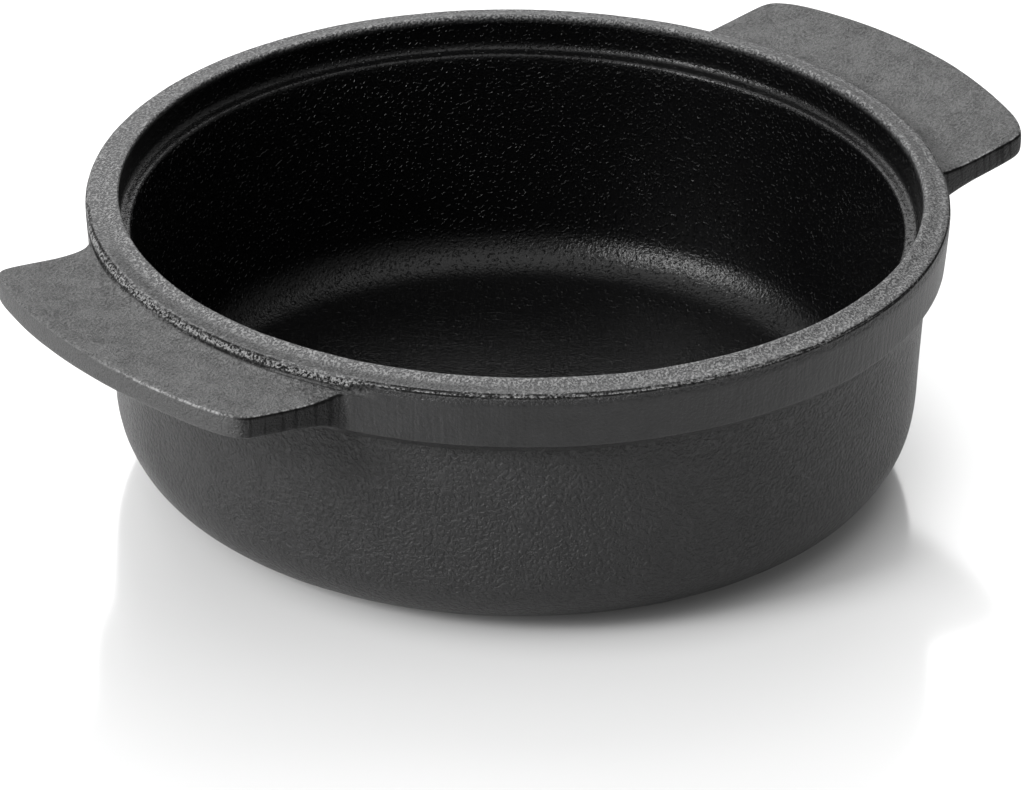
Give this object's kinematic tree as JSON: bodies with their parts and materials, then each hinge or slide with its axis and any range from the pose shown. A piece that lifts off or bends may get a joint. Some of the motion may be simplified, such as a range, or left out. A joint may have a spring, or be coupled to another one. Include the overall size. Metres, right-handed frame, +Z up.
{
  "type": "cast iron pan",
  "caption": "Small deep round cast iron pan with a flat floor, curved heel, banded rim with a lid ledge and a flat ear handle on each side.",
  "frame": {"origin": "centre of the pan's base, on the surface it stands on", "axes": "+X through the right ear, +Z up the pan's axis, +Y at right angles to the ears"},
  "size_m": [0.202, 0.16, 0.0545],
  "materials": {
    "black_iron": "matte black sand-cast iron, pitted outside, satin black coat inside"
  },
  "bodies": {
    "root": {"pan_floor": "black_iron", "heel_ring": "black_iron", "side_wall": "black_iron", "rim_band": "black_iron", "ear_handle_left": "black_iron", "ear_handle_right": "black_iron"}
  },
  "joints": []
}
